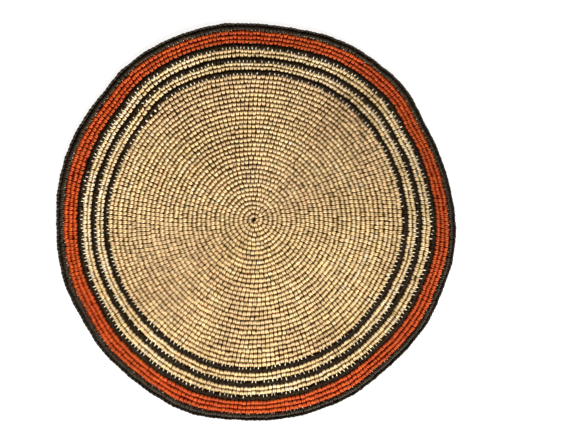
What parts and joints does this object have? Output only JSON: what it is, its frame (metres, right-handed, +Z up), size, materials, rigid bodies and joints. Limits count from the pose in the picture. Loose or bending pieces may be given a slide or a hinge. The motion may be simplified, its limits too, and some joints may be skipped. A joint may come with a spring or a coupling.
{
  "type": "raffia placemat",
  "caption": "Round flat placemat crocheted from natural raffia, with a striped black, natural and orange border and a rolled black rim.",
  "frame": {"origin": "under the middle of the mat's outline, on the surface that it lies on", "axes": "+Z up out of the right side of the mat; +Y away from the near edge as the picture shows it; +X to the right"},
  "size_m": [0.3784, 0.3762, 0.0032],
  "materials": {
    "natural_raffia": "soft sheen, crocheted plant fibre",
    "black_raffia": "soft sheen, dyed crocheted plant fibre",
    "orange_raffia": "soft sheen, dyed crocheted plant fibre"
  },
  "bodies": {
    "root": {"mat": "natural_raffia"}
  },
  "joints": []
}
